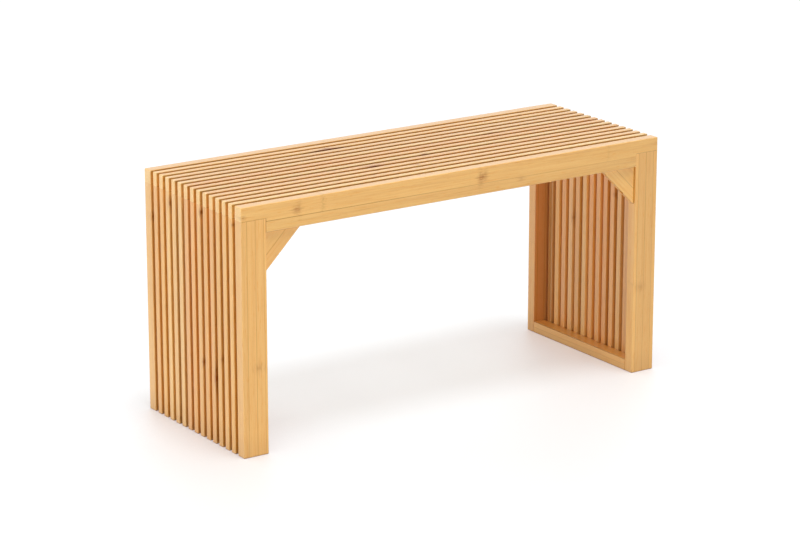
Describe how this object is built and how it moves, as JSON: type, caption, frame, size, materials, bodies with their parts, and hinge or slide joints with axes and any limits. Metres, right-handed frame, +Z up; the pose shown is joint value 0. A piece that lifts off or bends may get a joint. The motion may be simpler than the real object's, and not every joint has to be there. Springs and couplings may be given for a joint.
{
  "type": "bamboo bench",
  "caption": "Slatted bamboo bench: seat slats that turn down into upright end slats between two framed sides, with corner gussets, low end rails and an open space under the seat.",
  "frame": {"origin": "on the floor, under the middle of the seat", "axes": "+X along the seat to the right end, +Y from the front frame to the rear one, +Z up"},
  "size_m": [0.9, 0.33, 0.45],
  "materials": {
    "frame_bamboo": "clear satin lacquer on laminated bamboo",
    "slat_bamboo": "clear satin lacquer on laminated bamboo",
    "cross_rail_bamboo": "clear satin lacquer on laminated bamboo",
    "dowel_wood": "plain turned wood",
    "zinc_steel": "bright zinc plating"
  },
  "bodies": {
    "root": {"front_rail": "frame_bamboo", "rear_rail": "frame_bamboo", "front_left_leg": "frame_bamboo", "front_right_leg": "frame_bamboo", "rear_left_leg": "frame_bamboo", "rear_right_leg": "frame_bamboo", "front_left_gusset": "frame_bamboo", "front_right_gusset": "frame_bamboo", "rear_left_gusset": "frame_bamboo", "rear_right_gusset": "frame_bamboo", "seat_slat_01": "slat_bamboo", "seat_slat_02": "slat_bamboo", "seat_slat_03": "slat_bamboo", "seat_slat_04": "slat_bamboo", "seat_slat_05": "slat_bamboo", "seat_slat_06": "slat_bamboo", "seat_slat_07": "slat_bamboo", "seat_slat_08": "slat_bamboo", "seat_slat_09": "slat_bamboo", "seat_slat_10": "slat_bamboo", "seat_slat_11": "slat_bamboo", "seat_slat_12": "slat_bamboo", "seat_slat_13": "slat_bamboo", "left_leg_slat_01": "slat_bamboo", "left_leg_slat_02": "slat_bamboo", "left_leg_slat_03": "slat_bamboo", "left_leg_slat_04": "slat_bamboo", "left_leg_slat_05": "slat_bamboo", "left_leg_slat_06": "slat_bamboo", "left_leg_slat_07": "slat_bamboo", "left_leg_slat_08": "slat_bamboo", "left_leg_slat_09": "slat_bamboo", "left_leg_slat_10": "slat_bamboo", "left_leg_slat_11": "slat_bamboo", "left_leg_slat_12": "slat_bamboo", "left_leg_slat_13": "slat_bamboo", "right_leg_slat_01": "slat_bamboo", "right_leg_slat_02": "slat_bamboo", "right_leg_slat_03": "slat_bamboo", "right_leg_slat_04": "slat_bamboo", "right_leg_slat_05": "slat_bamboo", "right_leg_slat_06": "slat_bamboo", "right_leg_slat_07": "slat_bamboo", "right_leg_slat_08": "slat_bamboo", "right_leg_slat_09": "slat_bamboo", "right_leg_slat_10": "slat_bamboo", "right_leg_slat_11": "slat_bamboo", "right_leg_slat_12": "slat_bamboo", "right_leg_slat_13": "slat_bamboo", "left_bottom_rail": "cross_rail_bamboo", "left_corner_rail": "cross_rail_bamboo", "left_seat_batten": "cross_rail_bamboo", "right_bottom_rail": "cross_rail_bamboo", "right_corner_rail": "cross_rail_bamboo", "right_seat_batten": "cross_rail_bamboo", "corner_dowels": "dowel_wood", "slat_dowels": "dowel_wood", "seat_screws": "zinc_steel", "leg_slat_screws": "zinc_steel", "gusset_screws": "zinc_steel"}
  },
  "joints": []
}
